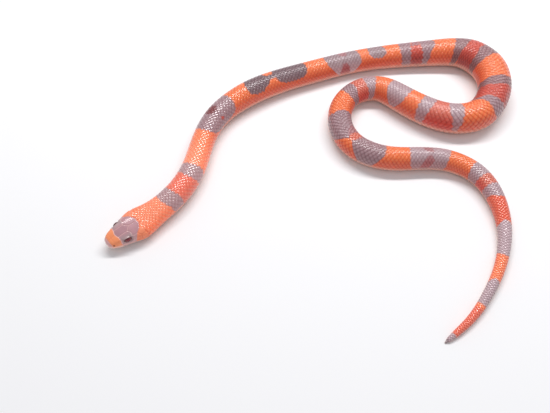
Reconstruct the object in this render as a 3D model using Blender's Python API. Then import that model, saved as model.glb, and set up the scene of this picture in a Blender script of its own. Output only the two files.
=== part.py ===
"""A young milk snake lying in loose loops on the floor, life size and still.

Metres, +Z up. The origin is on the floor, under the middle of the snake's box. Sizes below
are in millimetres. A place on the animal is a station, counted along the midline from the
snout, and an angle round the body: 0 on the back, 90 on the snake's left side, 180 on the belly.
"""

import bmesh
import bpy
import numpy as np

MM = 0.001

# What is kept free between neighbours that touch on the animal
GAP = 0.3

# Midline of the body on the floor, from the snout to the tip of the tail
ROUTE = [
    (-68.4, -32.1), (-62.85, -27.35), (-57.5, -22.6), (-48.5, -11.7), (-44.3, -0.3),
    (-42.05, 12.15), (-37.6, 23.7), (-29.85, 32.5), (-18.25, 40.5), (-1.7, 48.05),
    (15.35, 54.15), (32.9, 57.0), (44.95, 57.95), (53.95, 57.1), (59.85, 52.1),
    (62.8, 44.65), (62.15, 35.75), (58.4, 27.7), (52.9, 22.25), (45.0, 20.85),
    (35.0, 25.25), (26.05, 33.2), (20.45, 37.2), (15.45, 37.2), (10.35, 34.3),
    (5.7, 26.25), (5.45, 16.65), (9.25, 8.4), (16.6, 3.6), (26.95, 2.65),
    (38.95, 2.25), (48.5, -3.8), (52.65, -13.8), (52.85, -25.85), (48.85, -38.8),
    (43.15, -48.55), (36.6, -56.65), (28.7, -63.2),
]
# The curve through the route is worked out at this many points
CURVE_POINTS = 12001

# Width of the body at stations behind the head
BODY_WIDTH = [
    (20, 8.1), (36, 8.0), (50, 7.9), (70, 8.7), (82, 9.3), (104, 8.7), (126, 8.55),
    (146, 9.4), (164, 10.9), (172, 12.25), (180, 12.6), (188, 12.05), (206, 10.9),
    (220, 10.6), (240, 9.9), (250, 9.0), (262, 8.2), (290, 8.5), (302, 8.05), (328, 6.85),
    (338, 6.0), (353, 4.35), (362, 3.7), (385, 2.6), (392, 2.1), (396, 1.45), (398, 0.4),
]
# Heights of the body's widest line, back and belly as shares of its width
BODY_MIDDLE, BODY_TOP, BODY_BOTTOM = 0.46, 0.92, -0.04

# The head's own outline, which passes into the body's by NECK_END
NECK_END = 26.0
HEAD_HALF_WIDTH = [
    (0, 0.05), (0.15, 0.95), (0.5, 1.65), (1, 2.1), (2, 2.65), (3, 3.05), (4.2, 3.35),
    (5.6, 3.7), (8, 4.35), (10, 4.95), (12.5, 5.2), (16, 4.6), (20, 4.15), (26, 4.05),
]
HEAD_TOP = [
    (0, 3.15), (0.15, 3.8), (0.5, 4.15), (1, 4.45), (2, 4.85), (3, 5.2), (4.2, 5.5),
    (5.6, 5.7), (8, 5.9), (12.5, 5.95), (16, 6.25), (20, 6.8), (26, 7.4),
]
HEAD_MIDDLE = [(0, 3.1), (4.2, 3.4), (8, 3.55), (12.5, 3.55), (20, 3.65), (26, 3.7)]
HEAD_BOTTOM = [
    (0, 3.05), (0.15, 2.4), (0.5, 1.95), (1, 1.7), (2, 1.45), (4.2, 1.2), (8, 0.9),
    (12.5, 0.45), (16, 0.1), (20, -0.2), (26, -0.33),
]
# Power of the rounded section: 2 is an ellipse, more is squarer
HEAD_FULLNESS = [(0, 2.3), (3, 2.7), (5.5, 3.0), (8, 2.8), (14, 2.3), (22, 2.0)]
# How far the head leans over to its left, in degrees
HEAD_ROLL = [(0, 10), (12, 10), (30, 0)]

# Height of the mouth's line, and the corner of the mouth
MOUTH_LINE = [(0, 2.6), (2, 2.45), (5.6, 2.3), (9, 2.15), (12, 2.25)]
MOUTH_CORNER = 11.6
JAW_INSET = 0.12
# The block that cuts the mouth: how far ahead of the snout it starts, how far it reaches to
# the sides and down, and its rings
MOUTH_AHEAD = 2.0
MOUTH_REACH = 8.0
MOUTH_RINGS = 12
# Upper and lower edge of each row of lip shields, as heights over the mouth's line
UPPER_LIP = (0.75, 0.12)
LOWER_LIP = (-0.4, -0.8)

# Middle of the eyeball: its station, distance from the midline and height
EYE_STATION = 5.7
EYE_SIDE = 2.7
EYE_HEIGHT = 4.35
EYE_RADIUS = 1.2
EYE_SIDES = 16
SOCKET_SIDES = 20
NOSTRIL = (1.4, 75)
NOSTRIL_RADIUS = 0.28
NOSTRIL_SIDES = 10

# Shields stand this far out of the head, are rooted this deep and keep this seam
SHIELD_RISE = 0.13
BROW_RISE = 0.28
SHIELD_ROOT = 0.55
JAW_SHIELD_ROOT = 0.25
SEAM = 0.13
SHIELD_STEP = 1.0
# The outer edge of a shield has this share of its rise, and its flat top starts this many
# seams in from the outline, but keeps at least this share of the shield
EDGE_RISE = 0.35
TOP_INSET = 1.6
TOP_SHARE = 0.5
# Edges of the head that bend more than this, in degrees, stay sharp
SHARP_BEND = 38

# Corners that several shields of the left half share, as station and angle
SNOUT_MID, SNOUT_OUT = (0.55, 0), (1.0, 60)
NASAL_MID, NASAL_OUT = (1.75, 0), (1.95, 60)
MUZZLE_MID, MUZZLE_IN, MUZZLE_OUT = (3.2, 0), (3.6, 32), (3.75, 57)
FRONTAL_OUT, FRONTAL_REAR = (6.75, 29), (8.15, 0)
BROW_IN, BROW_OUT = (7.45, 44), (7.2, 58)
CROWN_SIDE, CROWN_OUT, CROWN_REAR, CROWN_MID = (8.9, 61), (10.3, 46), (11.1, 14), (10.9, 0)

# The shield that crosses the midline, by its left corners, the brow and the other pairs
FRONTAL = [MUZZLE_MID, MUZZLE_IN, FRONTAL_OUT, (FRONTAL_REAR[0], 0.5)]
BROW = [MUZZLE_IN, MUZZLE_OUT, (5.4, 63), BROW_OUT, BROW_IN, FRONTAL_OUT]
PAIRS = {
    "internasal": [SNOUT_MID, SNOUT_OUT, NASAL_OUT, NASAL_MID],
    "prefrontal": [NASAL_MID, NASAL_OUT, MUZZLE_OUT, MUZZLE_IN, MUZZLE_MID],
    "parietal": [FRONTAL_OUT, BROW_IN, BROW_OUT, CROWN_SIDE, CROWN_OUT, CROWN_REAR,
                 CROWN_MID, FRONTAL_REAR],
    "nasal": [SNOUT_OUT, NASAL_OUT, (2.35, 75), (2.15, 88), (0.9, 88)],
    "loreal": [NASAL_OUT, (3.65, 59), (3.75, 84), (2.2, 89), (2.4, 75)],
    "preocular": [(3.75, 60), (4.7, 63), (4.4, 74), (4.55, 88), (3.8, 86)],
    "upper_postocular": [(6.7, 63), (7.3, 60), (8.0, 63), (7.75, 75), (6.95, 75)],
    "lower_postocular": [(6.95, 75), (7.75, 75), (7.9, 91), (6.75, 91)],
    "front_temporal": [(8.0, 63), CROWN_SIDE, (9.75, 71), (9.6, 91), (7.9, 91), (7.75, 75)],
    "upper_temporal": [CROWN_SIDE, CROWN_OUT, (11.3, 57), (11.1, 71), (9.75, 71)],
    "lower_temporal": [(9.75, 71), (11.1, 71), (11.7, 80), (11.4, 91), (9.6, 91)],
    "chin_front": [(1.5, 178), (1.6, 150), (3.6, 146), (3.9, 178)],
    "chin_rear": [(4.0, 178), (3.75, 146), (6.4, 150), (6.2, 178)],
}
CHIN = ["chin_front", "chin_rear"]
# Stations where one lip shield meets the next, upper lip and lower lip
UPPER_LIPS = [0.75, 1.7, 2.8, 4.2, 5.7, 7.3, 9.1, 11.2]
LOWER_LIPS = [1.2, 2.0, 3.0, 4.2, 5.6, 7.2, 9.0, 10.9]

# Lengths of the body: each runs from the end of the one before it to this station
LENGTHS = [
    ("neck", 32), ("torso_01", 60), ("torso_02", 92), ("torso_03", 124), ("torso_04", 154),
    ("torso_05", 172), ("torso_06", 188), ("torso_07", 206), ("torso_08", 224),
    ("torso_09", 242), ("torso_10", 254), ("torso_11", 276), ("torso_12", 300),
    ("torso_13", 322), ("torso_14", 336), ("tail_01", 354), ("tail_02", 374),
    ("tail_tip", 398),
]
HEAD_END = 14.0
HEAD_SIDES = 36
# The first rings are raised as the shield at the tip of the snout
ROSTRAL_RINGS = [0.06, 0.2, 0.42]
HEAD_RINGS = [
    0.5, 0.85, 1.3, 1.9, 2.6, 3.4, 4.2, 5.0, 5.8, 6.6, 7.5, 8.5, 9.6, 10.8, 12.0, 13.0,
]
JAW_RINGS = [0.85, 1.0, 1.4, 2.0, 3.0, 4.2, 5.6, 7.0, 8.5, 10.0, 11.3]
JAW_SIDES = 18
BODY_SIDES = 20
BODY_STEP = 2.4

MATERIALS = {
    "skin": ((0.78, 0.24, 0.12), 0.38),
    "crown": ((0.33, 0.21, 0.24), 0.34),
    "eye": ((0.05, 0.008, 0.008), 0.08),
}


def clear_scene():
    """Remove every object of the open file."""
    for obj in list(bpy.data.objects):
        bpy.data.objects.remove(obj, do_unlink=True)


def material(name):
    """One Principled material for each finish, made once."""
    found = bpy.data.materials.get(name)
    if found:
        return found
    colour, roughness = MATERIALS[name]
    made = bpy.data.materials.new(name)
    made.use_nodes = True
    shader = made.node_tree.nodes["Principled BSDF"]
    shader.inputs["Base Color"].default_value = (*colour, 1.0)
    shader.inputs["Roughness"].default_value = roughness
    shader.inputs["Metallic"].default_value = 0.0
    return made


def through(x, knots):
    """Smooth curve through the knots that never overshoots them: a cubic between each pair,
    with the harmonic mean of the slopes on both sides as its slope at a knot."""
    knot_x, knot_y = np.array(knots, float).T
    step = np.diff(knot_x)
    rise = np.diff(knot_y) / step
    slope = np.zeros_like(knot_x)
    slope[0], slope[-1] = rise[0], rise[-1]
    same = rise[:-1] * rise[1:] > 0
    before, after = rise[:-1][same], rise[1:][same]
    slope[1:-1][same] = 2 * before * after / (before + after)
    x = np.clip(np.asarray(x, float), knot_x[0], knot_x[-1])
    i = np.clip(np.searchsorted(knot_x, x, side="right") - 1, 0, len(step) - 1)
    t = (x - knot_x[i]) / step[i]
    ends = knot_y[i] * (1 + 2 * t) * (1 - t) ** 2 + knot_y[i + 1] * t * t * (3 - 2 * t)
    return ends + step[i] * (slope[i] * t * (1 - t) ** 2 - slope[i + 1] * t * t * (1 - t))


def route_curve():
    """Natural cubic spline through the route, as x, y, heading and length at close steps."""
    points = np.array(ROUTE)
    count = len(points)
    knots = np.concatenate([[0], np.cumsum(np.hypot(*np.diff(points, axis=0).T))])
    step = np.diff(knots)
    system = np.eye(count)
    target = np.zeros_like(points)
    for i in range(1, count - 1):
        system[i, i - 1:i + 2] = step[i - 1], 2 * (step[i - 1] + step[i]), step[i]
        slopes = np.diff(points[i - 1:i + 2], axis=0) / step[i - 1:i + 1, None]
        target[i] = 6 * (slopes[1] - slopes[0])
    bend = np.linalg.solve(system, target)
    at = np.linspace(0, knots[-1], CURVE_POINTS)
    i = np.clip(np.searchsorted(knots, at, side="right") - 1, 0, count - 2)
    a = ((knots[i + 1] - at) / step[i])[:, None]
    b = 1 - a
    cubic = ((a ** 3 - a) * bend[i] + (b ** 3 - b) * bend[i + 1]) * (step[i] ** 2 / 6)[:, None]
    curve = a * points[i] + b * points[i + 1] + cubic
    run = np.gradient(curve, axis=0)
    heading = np.unwrap(np.arctan2(run[:, 1], run[:, 0]))
    length = np.concatenate([[0], np.cumsum(np.hypot(*np.diff(curve, axis=0).T))])
    return curve[:, 0], curve[:, 1], heading, length


CURVE_X, CURVE_Y, CURVE_HEADING, CURVE_LENGTH = route_curve()


def section(station):
    """Half width, top, bottom, height of the widest line and fullness of the cross-section."""
    width = through(station, BODY_WIDTH)
    head = np.asarray(station) < NECK_END
    half = np.where(head, through(station, HEAD_HALF_WIDTH), width / 2)
    top = np.where(head, through(station, HEAD_TOP), BODY_TOP * width)
    bottom = np.where(head, through(station, HEAD_BOTTOM), BODY_BOTTOM * width)
    middle = np.where(head, through(station, HEAD_MIDDLE), BODY_MIDDLE * width)
    fullness = through(station, HEAD_FULLNESS)
    return half, top, bottom, middle, fullness


def placed(station, side, height):
    """World place, in mm, of a point given by its distance to the left of the midline and
    its height in the upright section, which leans with the head."""
    middle = section(station)[3]
    roll = np.radians(through(station, HEAD_ROLL))
    above = height - middle
    left = side * np.cos(roll) + above * np.sin(roll)
    level = middle + above * np.cos(roll) - side * np.sin(roll)
    heading = np.interp(station, CURVE_LENGTH, CURVE_HEADING)
    beyond = np.minimum(station, 0.0)
    x = np.interp(station, CURVE_LENGTH, CURVE_X) + beyond * np.cos(heading)
    y = np.interp(station, CURVE_LENGTH, CURVE_Y) + beyond * np.sin(heading)
    left_x, left_y = np.sin(heading), -np.cos(heading)
    return np.stack([x + left_x * left, y + left_y * left, np.maximum(level, 0.0)], axis=-1)


def reach(station, angle):
    """Distance from the section's centre to the skin: a rounded box in polar form."""
    half, top, bottom, middle, fullness = section(station)
    turned = np.radians(angle)
    tall = np.where(np.cos(turned) >= 0, top - middle, middle - bottom)
    wide_share = np.abs(np.sin(turned)) / half
    tall_share = np.abs(np.cos(turned)) / tall
    return (wide_share ** fullness + tall_share ** fullness) ** (-1 / fullness)


def skin_point(station, angle, out=0.0):
    """World place of a point on the skin, moved out of it by a distance in mm."""
    station, angle = np.broadcast_arrays(np.asarray(station, float), np.asarray(angle, float))
    far = reach(station, angle) + out
    turned = np.radians(angle)
    middle = section(station)[3]
    return placed(station, far * np.sin(turned), middle + far * np.cos(turned))


def mesh_object(name, points, faces, finish):
    """Object from points in mm and faces, turned outwards, smooth and with its material."""
    mesh = bpy.data.meshes.new(name)
    mesh.from_pydata((np.asarray(points) * MM).tolist(), [], faces)
    shape = bmesh.new()
    shape.from_mesh(mesh)
    bmesh.ops.recalc_face_normals(shape, faces=shape.faces)
    shape.to_mesh(mesh)
    shape.free()
    mesh.materials.append(material(finish))
    obj = bpy.data.objects.new(name, mesh)
    bpy.context.scene.collection.objects.link(obj)
    return obj


def ring_faces(rings, sides):
    """Triangles of a closed tube of rings, with a fan over each end. The last two points
    are the middles of the first and the last ring."""
    faces = []
    for k in range(rings - 1):
        for j in range(sides):
            a, b = k * sides + j, k * sides + (j + 1) % sides
            faces += [(a, b, b + sides), (a, b + sides, a + sides)]
    first, last = rings * sides, rings * sides + 1
    end = (rings - 1) * sides
    for j in range(sides):
        faces.append((first, (j + 1) % sides, j))
        faces.append((last, end + j, end + (j + 1) % sides))
    return faces


def tube(name, rings, finish):
    """Closed solid through a list of rings, all with the same number of points."""
    rings = np.array(rings)
    ends = [rings[0].mean(axis=0), rings[-1].mean(axis=0)]
    points = np.concatenate([rings.reshape(-1, 3), ends])
    return mesh_object(name, points, ring_faces(len(rings), rings.shape[1]), finish)


def cut_ring(station, angles, along):
    """Ring in the flat plane of a cut, moved along the midline by a distance in mm."""
    heading = np.interp(station, CURVE_LENGTH, CURVE_HEADING)
    return skin_point(station, angles) + along * np.array([np.cos(heading), np.sin(heading), 0])


def body_length(name, start, end):
    """One length of the body between two flat cuts, with half the gap left at each."""
    angles = np.arange(BODY_SIDES) * 360 / BODY_SIDES
    count = max(2, round((end - start) / BODY_STEP))
    stations = np.linspace(start, end, count + 1)
    rings = [cut_ring(start, angles, GAP / 2)]
    rings += [skin_point(station, angles) for station in stations[1:-1]]
    is_tip = name == LENGTHS[-1][0]
    rings.append(cut_ring(end, angles, 0.0 if is_tip else -GAP / 2))
    obj = tube(name, rings, "skin")
    obj.data.shade_smooth()
    return obj


def shield(corners, rise=SHIELD_RISE, base=0.0, root=SHIELD_ROOT):
    """One raised shield over a surface that lies at the base from the skin: its outline is
    drawn inside the seam, it is domed over two rings and closed by a root underneath."""
    corners = np.array(corners, float)
    rim = []
    for a, b in zip(corners, np.roll(corners, -1, axis=0)):
        run = np.linalg.norm(skin_point(*a) - skin_point(*b))
        parts = max(1, round(run / SHIELD_STEP))
        rim += [a + (b - a) * i / parts for i in range(parts)]
    rim = np.array(rim)
    centre = rim.mean(axis=0)
    far = np.linalg.norm(skin_point(rim[:, 0], rim[:, 1]) - skin_point(*centre), axis=1)
    edge = 1 - SEAM / 2 / far
    top = np.maximum(1 - TOP_INSET * SEAM / far, TOP_SHARE * edge)
    shrunk = [edge, edge, top, top / 2]
    heights = [base - root, base + EDGE_RISE * rise, base + rise, base + rise]
    rings = []
    for share, height in zip(shrunk, heights):
        inside = centre + (rim - centre) * np.reshape(share, (-1, 1))
        rings.append(skin_point(inside[:, 0], inside[:, 1], height))
    ends = [skin_point(*centre, heights[0]), skin_point(*centre, heights[-1])]
    points = np.concatenate([*rings, ends])
    return mesh_object("shield", points, ring_faces(len(rings), len(rim)), "crown")


def mirrored(corners):
    """The same corners on the right half."""
    return [(station, -angle) for station, angle in corners]


def lip_angle(station, height):
    """Angle on the section at which the skin passes a height below the widest line."""
    half, _, bottom, middle, fullness = section(station)
    share = np.clip((middle - height) / (middle - bottom), 0, 1)
    side = half * (1 - share ** fullness) ** (1 / fullness)
    return float(np.degrees(np.arctan2(side, height - middle)))


def lip_shields(stations, edges, base=0.0, root=SHIELD_ROOT):
    """Row of shields along one lip on both sides, between two heights over the mouth."""
    upper, lower = edges
    row = []
    for start, end in zip(stations[:-1], stations[1:]):
        corners = []
        for station, offset in ((start, upper), (end, upper), (end, lower), (start, lower)):
            height = float(through(station, MOUTH_LINE)) + offset
            corners.append((station, lip_angle(station, height)))
        for side in (corners, mirrored(corners)):
            row.append(shield(side, base=base, root=root))
    return row


def ball(name, centre, radius, sides):
    """Sphere at a place in mm, in the finish of the eyes."""
    mesh = bpy.data.meshes.new(name)
    shape = bmesh.new()
    bmesh.ops.create_uvsphere(shape, u_segments=sides, v_segments=sides // 2,
                              radius=radius * MM)
    bmesh.ops.translate(shape, verts=shape.verts, vec=(np.asarray(centre) * MM).tolist())
    shape.to_mesh(mesh)
    shape.free()
    mesh.materials.append(material("eye"))
    obj = bpy.data.objects.new(name, mesh)
    bpy.context.scene.collection.objects.link(obj)
    return obj


def combine(obj, others, operation):
    """One Boolean with all the other solids at once, applied, after which only the largest
    closed surface is kept and the others are gone."""
    group = bpy.data.collections.new("others")
    for other in others:
        group.objects.link(other)
    modifier = obj.modifiers.new("combine", "BOOLEAN")
    modifier.operation = operation
    modifier.solver = "EXACT"
    modifier.operand_type = "COLLECTION"
    modifier.collection = group
    bpy.context.view_layer.update()
    graph = bpy.context.evaluated_depsgraph_get()
    result = bpy.data.meshes.new_from_object(obj.evaluated_get(graph))
    obj.modifiers.clear()
    obj.data = result
    for other in others:
        bpy.data.objects.remove(other, do_unlink=True)
    bpy.data.collections.remove(group)
    keep_largest(obj)


def keep_largest(obj):
    """Keep the connected surface with the most faces."""
    shape = bmesh.new()
    shape.from_mesh(obj.data)
    left = set(shape.faces)
    islands = []
    while left:
        todo = [left.pop()]
        island = set(todo)
        while todo:
            for edge in todo.pop().edges:
                for face in edge.link_faces:
                    if face in left:
                        left.remove(face)
                        island.add(face)
                        todo.append(face)
        islands.append(island)
    largest = max(islands, key=len)
    loose = [face for face in shape.faces if face not in largest]
    bmesh.ops.delete(shape, geom=loose, context="FACES")
    shape.to_mesh(obj.data)
    shape.free()


def mouth_cutter():
    """Block under the mouth's line, back to the corner of the mouth."""
    sides = MOUTH_REACH * np.array([1, -1, -1, 1])
    drops = MOUTH_REACH * np.array([0, 0, -1, -1])
    rings = []
    for station in np.linspace(-MOUTH_AHEAD, MOUTH_CORNER, MOUTH_RINGS):
        ring = placed(np.full(4, station), sides, through(station, MOUTH_LINE))
        ring[:, 2] += drops
        rings.append(ring)
    return tube("mouth_cutter", rings, "skin")


def shade(obj):
    """Smooth shading, with the edges of the shields and openings kept sharp."""
    obj.data.shade_smooth()
    obj.data.set_sharp_from_angle(angle=np.radians(SHARP_BEND))


def eye_centre(side):
    """Middle of the eyeball on one side, +1 for the left."""
    return placed(EYE_STATION, side * EYE_SIDE, EYE_HEIGHT)


def head():
    """Upper head with its shields, the mouth cut under it, eye sockets and nostrils."""
    angles = np.arange(HEAD_SIDES) * 360 / HEAD_SIDES
    rings = [skin_point(station, angles, SHIELD_RISE) for station in ROSTRAL_RINGS]
    rings += [skin_point(station, angles) for station in HEAD_RINGS]
    rings.append(cut_ring(HEAD_END, angles, -GAP / 2))
    obj = tube("head", rings, "crown")
    shields = [shield(FRONTAL + mirrored(FRONTAL)[::-1])]
    for name, corners in PAIRS.items():
        if name not in CHIN:
            shields += [shield(corners), shield(mirrored(corners))]
    shields += [shield(BROW, BROW_RISE), shield(mirrored(BROW), BROW_RISE)]
    shields += lip_shields(UPPER_LIPS, UPPER_LIP)
    combine(obj, shields, "UNION")
    cutters = [mouth_cutter()]
    for side in (1, -1):
        cutters.append(ball("socket", eye_centre(side), EYE_RADIUS + GAP, SOCKET_SIDES))
        nostril = skin_point(NOSTRIL[0], side * NOSTRIL[1], SHIELD_RISE)
        cutters.append(ball("nostril", nostril, NOSTRIL_RADIUS, NOSTRIL_SIDES))
    combine(obj, cutters, "DIFFERENCE")
    shade(obj)


def lower_jaw():
    """Lower jaw: the part of the section under the mouth, a gap below it and set in a
    little, with the shields of the lower lip and the chin."""
    rings = []
    for station in JAW_RINGS:
        top = float(through(station, MOUTH_LINE)) - GAP
        start = lip_angle(station, top)
        angles = np.linspace(start, 360 - start, JAW_SIDES)
        rings.append(skin_point(station, angles, -JAW_INSET))
    obj = tube("lower_jaw", rings, "skin")
    shields = lip_shields(LOWER_LIPS, LOWER_LIP, -JAW_INSET, JAW_SHIELD_ROOT)
    for name in CHIN:
        for corners in (PAIRS[name], mirrored(PAIRS[name])):
            shields.append(shield(corners, base=-JAW_INSET, root=JAW_SHIELD_ROOT))
    combine(obj, shields, "UNION")
    shade(obj)


def eyes():
    """Both eyeballs, each clear of its socket by the gap."""
    for name, side in (("eye_left", 1), ("eye_right", -1)):
        ball(name, eye_centre(side), EYE_RADIUS, EYE_SIDES).data.shade_smooth()


def build():
    """The whole snake."""
    clear_scene()
    head()
    lower_jaw()
    eyes()
    start = HEAD_END
    for name, end in LENGTHS:
        body_length(name, start, end)
        start = end


build()
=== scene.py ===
"""A young milk snake lying in loose loops, life size.

Sizes are in millimetres unless a line says otherwise. A place on the animal is a station,
counted along the midline from the snout, and an angle round the body: 0 on the back, 90 on the
snake's left side and 180 on the belly.
"""

import bpy
import numpy as np
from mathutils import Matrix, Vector


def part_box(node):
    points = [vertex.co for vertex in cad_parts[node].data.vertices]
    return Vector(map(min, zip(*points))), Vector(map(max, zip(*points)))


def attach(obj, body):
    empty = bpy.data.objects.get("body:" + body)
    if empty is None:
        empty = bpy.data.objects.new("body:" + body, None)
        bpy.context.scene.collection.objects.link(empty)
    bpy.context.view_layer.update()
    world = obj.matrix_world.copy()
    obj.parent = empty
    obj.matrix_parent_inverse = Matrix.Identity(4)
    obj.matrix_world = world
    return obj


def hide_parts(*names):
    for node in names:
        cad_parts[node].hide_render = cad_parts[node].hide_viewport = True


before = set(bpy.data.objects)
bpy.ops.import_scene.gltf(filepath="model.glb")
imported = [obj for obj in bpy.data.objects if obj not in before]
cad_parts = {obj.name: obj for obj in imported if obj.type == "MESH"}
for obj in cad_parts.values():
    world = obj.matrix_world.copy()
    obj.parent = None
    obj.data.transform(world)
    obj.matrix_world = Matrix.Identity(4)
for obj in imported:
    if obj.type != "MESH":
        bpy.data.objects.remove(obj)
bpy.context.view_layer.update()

# Skin. The hide is one supple sheet from the snout to the tip of the tail, over one long tube of
# muscle. It is made as one closed grid of rings along the midline: fine on the head, where it
# carries the shields, lips, nostrils and sockets, and coarser under the body's scales.
MM = 0.001
# The midline on the floor, and the cross-section along it, a rounded box whose width, heights and
# fullness change; the head leans a little to its left
ROUTE = [
    (-68.4, -32.1), (-62.85, -27.35), (-57.5, -22.6), (-48.5, -11.7), (-44.3, -0.3),
    (-42.05, 12.15), (-37.6, 23.7), (-29.85, 32.5), (-18.25, 40.5), (-1.7, 48.05),
    (15.35, 54.15), (32.9, 57.0), (44.95, 57.95), (53.95, 57.1), (59.85, 52.1),
    (62.8, 44.65), (62.15, 35.75), (58.4, 27.7), (52.9, 22.25), (45.0, 20.85),
    (35.0, 25.25), (26.05, 33.2), (20.45, 37.2), (15.45, 37.2), (10.35, 34.3),
    (5.7, 26.25), (5.45, 16.65), (9.25, 8.4), (16.6, 3.6), (26.95, 2.65),
    (38.95, 2.25), (48.5, -3.8), (52.65, -13.8), (52.85, -25.85), (48.85, -38.8),
    (43.15, -48.55), (36.6, -56.65), (28.7, -63.2),
]
ROUTE_STEPS = 12001
SNAKE_LENGTH = 398.0
BODY_WIDTH = [
    (20, 8.1), (36, 8.0), (50, 7.9), (70, 8.7), (82, 9.3), (104, 8.7), (126, 8.55),
    (146, 9.4), (164, 10.9), (172, 12.25), (180, 12.6), (188, 12.05), (206, 10.9),
    (220, 10.6), (240, 9.9), (250, 9.0), (262, 8.2), (290, 8.5), (302, 8.05), (328, 6.85),
    (338, 6.0), (353, 4.35), (362, 3.7), (385, 2.6), (392, 2.1), (396, 1.45), (398, 0.4),
]
BODY_MIDDLE, BODY_TOP, BODY_BOTTOM = 0.46, 0.92, -0.04
NECK_END = 26.0
HEAD_HALF_WIDTH = [
    (0, 0.05), (0.15, 0.95), (0.5, 1.65), (1, 2.1), (2, 2.65), (3, 3.05), (4.2, 3.35),
    (5.6, 3.7), (8, 4.35), (10, 4.95), (12.5, 5.2), (16, 4.6), (20, 4.15), (26, 4.05),
]
HEAD_TOP = [
    (0, 3.15), (0.15, 3.8), (0.5, 4.15), (1, 4.45), (2, 4.85), (3, 5.2), (4.2, 5.5),
    (5.6, 5.7), (8, 5.9), (12.5, 5.95), (16, 6.25), (20, 6.8), (26, 7.4),
]
HEAD_MIDDLE = [(0, 3.1), (4.2, 3.4), (8, 3.55), (12.5, 3.55), (20, 3.65), (26, 3.7)]
HEAD_BOTTOM = [
    (0, 3.05), (0.15, 2.4), (0.5, 1.95), (1, 1.7), (2, 1.45), (4.2, 1.2), (8, 0.9),
    (12.5, 0.45), (16, 0.1), (20, -0.2), (26, -0.33),
]
HEAD_FULLNESS = [(0, 2.3), (3, 2.7), (5.5, 3.0), (8, 2.8), (14, 2.3), (22, 2.0)]
HEAD_LEAN = [(0, 10), (12, 10), (30, 0)]
# Depth of the coat of scales over the bare skin, which begins behind the head's shields and
# is never more than a share of the half width
COAT = 0.18
COAT_BEGINS = (8.0, 11.0)
COAT_SHARE = 0.25


def ramp(x, start, end):
    """Smooth step: 0 up to the start, 1 from the end, a cubic between."""
    t = np.clip((x - start) / (end - start), 0, 1)
    return t * t * (3 - 2 * t)


def through(x, knots):
    """Smooth curve through the knots that never overshoots them: a cubic between each pair,
    with the harmonic mean of the slopes on both sides as its slope at a knot."""
    knot_x, knot_y = np.array(knots, float).T
    step = np.diff(knot_x)
    rise = np.diff(knot_y) / step
    slope = np.zeros_like(knot_x)
    slope[0], slope[-1] = rise[0], rise[-1]
    same = rise[:-1] * rise[1:] > 0
    before, after = rise[:-1][same], rise[1:][same]
    slope[1:-1][same] = 2 * before * after / (before + after)
    x = np.clip(np.asarray(x, float), knot_x[0], knot_x[-1])
    i = np.clip(np.searchsorted(knot_x, x, side="right") - 1, 0, len(step) - 1)
    t = (x - knot_x[i]) / step[i]
    ends = knot_y[i] * (1 + 2 * t) * (1 - t) ** 2 + knot_y[i + 1] * t * t * (3 - 2 * t)
    return ends + step[i] * (slope[i] * t * (1 - t) ** 2 - slope[i + 1] * t * t * (1 - t))


def route_curve():
    """Natural cubic spline through the route's points, with its bending at each point solved
    from the rule that slope and bending run on, as x, y, heading and length at close steps."""
    points = np.array(ROUTE)
    count = len(points)
    knots = np.concatenate([[0], np.cumsum(np.hypot(*np.diff(points, axis=0).T))])
    step = np.diff(knots)
    system = np.eye(count)
    target = np.zeros_like(points)
    for i in range(1, count - 1):
        system[i, i - 1:i + 2] = step[i - 1], 2 * (step[i - 1] + step[i]), step[i]
        slopes = np.diff(points[i - 1:i + 2], axis=0) / step[i - 1:i + 1, None]
        target[i] = 6 * (slopes[1] - slopes[0])
    bend = np.linalg.solve(system, target)
    at = np.linspace(0, knots[-1], ROUTE_STEPS)
    i = np.clip(np.searchsorted(knots, at, side="right") - 1, 0, count - 2)
    a = ((knots[i + 1] - at) / step[i])[:, None]
    b = 1 - a
    cubic = ((a ** 3 - a) * bend[i] + (b ** 3 - b) * bend[i + 1]) * (step[i] ** 2 / 6)[:, None]
    curve = a * points[i] + b * points[i + 1] + cubic
    run = np.gradient(curve, axis=0)
    heading = np.unwrap(np.arctan2(run[:, 1], run[:, 0]))
    length = np.concatenate([[0], np.cumsum(np.hypot(*np.diff(curve, axis=0).T))])
    return curve[:, 0], curve[:, 1], heading, length


curve_x, curve_y, curve_heading, curve_length = route_curve()


def section(station):
    """Half width, top, bottom, height of the widest line and fullness of the cross-section."""
    width = through(station, BODY_WIDTH)
    head = station < NECK_END
    half = np.where(head, through(station, HEAD_HALF_WIDTH), width / 2)
    top = np.where(head, through(station, HEAD_TOP), BODY_TOP * width)
    bottom = np.where(head, through(station, HEAD_BOTTOM), BODY_BOTTOM * width)
    middle = np.where(head, through(station, HEAD_MIDDLE), BODY_MIDDLE * width)
    return half, top, bottom, middle, through(station, HEAD_FULLNESS)


def coat_depth(station):
    """Depth of the coat over the skin: it begins behind the head and thins on the tail."""
    half = section(station)[0]
    return np.minimum(COAT * ramp(station, *COAT_BEGINS), COAT_SHARE * half)


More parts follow.
